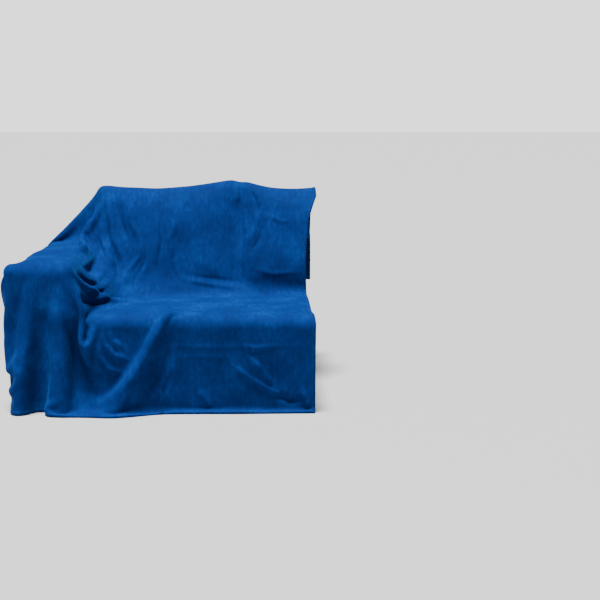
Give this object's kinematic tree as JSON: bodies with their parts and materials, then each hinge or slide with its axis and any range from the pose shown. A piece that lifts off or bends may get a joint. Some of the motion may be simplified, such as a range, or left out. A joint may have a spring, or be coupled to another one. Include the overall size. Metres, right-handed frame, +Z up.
{
  "type": "infrared heating blanket",
  "caption": "Plush infrared heating blanket draped over one end of a sofa, with bound edges, an inner heating element and a cord inlet in its rear edge.",
  "frame": {"origin": "on the blanket's underside, at the middle of the part that lies on the seat", "axes": "+X to the blanket's right edge seen from the front, +Y to the back of the seat, +Z up"},
  "size_m": [1.2667, 1.2699, 0.8926],
  "materials": {
    "plush_face": "matte",
    "plush_back": "matte",
    "binding": "matte",
    "binding_thread": "matte",
    "carrier_felt": "matte",
    "element_sheath": "matte",
    "couching_thread": "matte",
    "lead_sheath": "matte",
    "sensor_sheath": "matte",
    "crimp_metal": "satin",
    "cutout_case": "matte",
    "housing_plastic": "matte",
    "contact_insulator": "matte",
    "contact_metal": "satin",
    "screw_metal": "satin",
    "patch_fabric": "matte",
    "label_tape": "matte"
  },
  "bodies": {
    "root": {"top_plush": "plush_face", "under_plush": "plush_back", "heater_carrier": "carrier_felt", "heating_wire": "element_sheath", "wire_couching": "couching_thread", "lead_wires": "lead_sheath", "crimp_splices": "crimp_metal", "overheat_cutouts": "cutout_case", "temperature_sensor": "cutout_case", "sensor_lead": "sensor_sheath", "front_hem": "binding", "rear_hem": "binding", "left_hem": "binding", "right_hem": "binding", "hem_stitching": "binding_thread", "socket_lower_shell": "housing_plastic", "socket_upper_shell": "housing_plastic", "contact_block": "contact_insulator", "contact_pins": "contact_metal", "socket_screws": "screw_metal", "socket_patch": "patch_fabric", "patch_stitching": "binding_thread", "care_label": "label_tape", "label_stitching": "couching_thread"}
  },
  "joints": []
}
